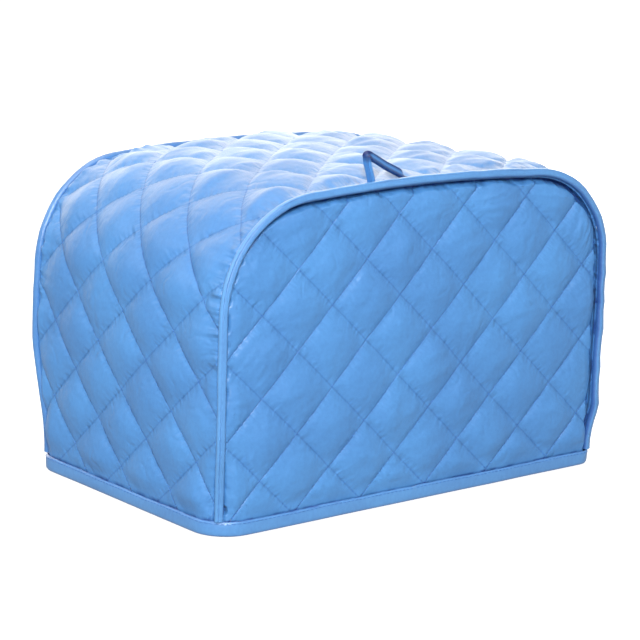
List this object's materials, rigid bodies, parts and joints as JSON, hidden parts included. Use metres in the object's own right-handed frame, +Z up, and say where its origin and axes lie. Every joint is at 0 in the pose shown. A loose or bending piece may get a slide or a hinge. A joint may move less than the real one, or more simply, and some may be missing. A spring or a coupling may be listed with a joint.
{
  "type": "toaster cover",
  "caption": "Quilted cloth cover with piped seams, a taped hem and a lifting loop, dropped over a toaster to keep off dust.",
  "frame": {"origin": "middle of the footprint, in the plane the hem rests on", "axes": "+Z up, +X along the front towards its right end, +Y from the front to the back"},
  "size_m": [0.3047, 0.1924, 0.2076],
  "materials": {
    "quilted_cloth": "blue satin-faced polyester, quilted in diamonds",
    "trim_tape": "the same blue cloth, cut as folded tape",
    "loop_strap": "blue cloth folded lengthwise and stitched"
  },
  "bodies": {
    "root": {"front_panel": "quilted_cloth", "back_panel": "quilted_cloth", "wrap_panel": "quilted_cloth", "front_piping": "trim_tape", "back_piping": "trim_tape", "hem_binding": "trim_tape", "pull_loop": "loop_strap"}
  },
  "joints": []
}
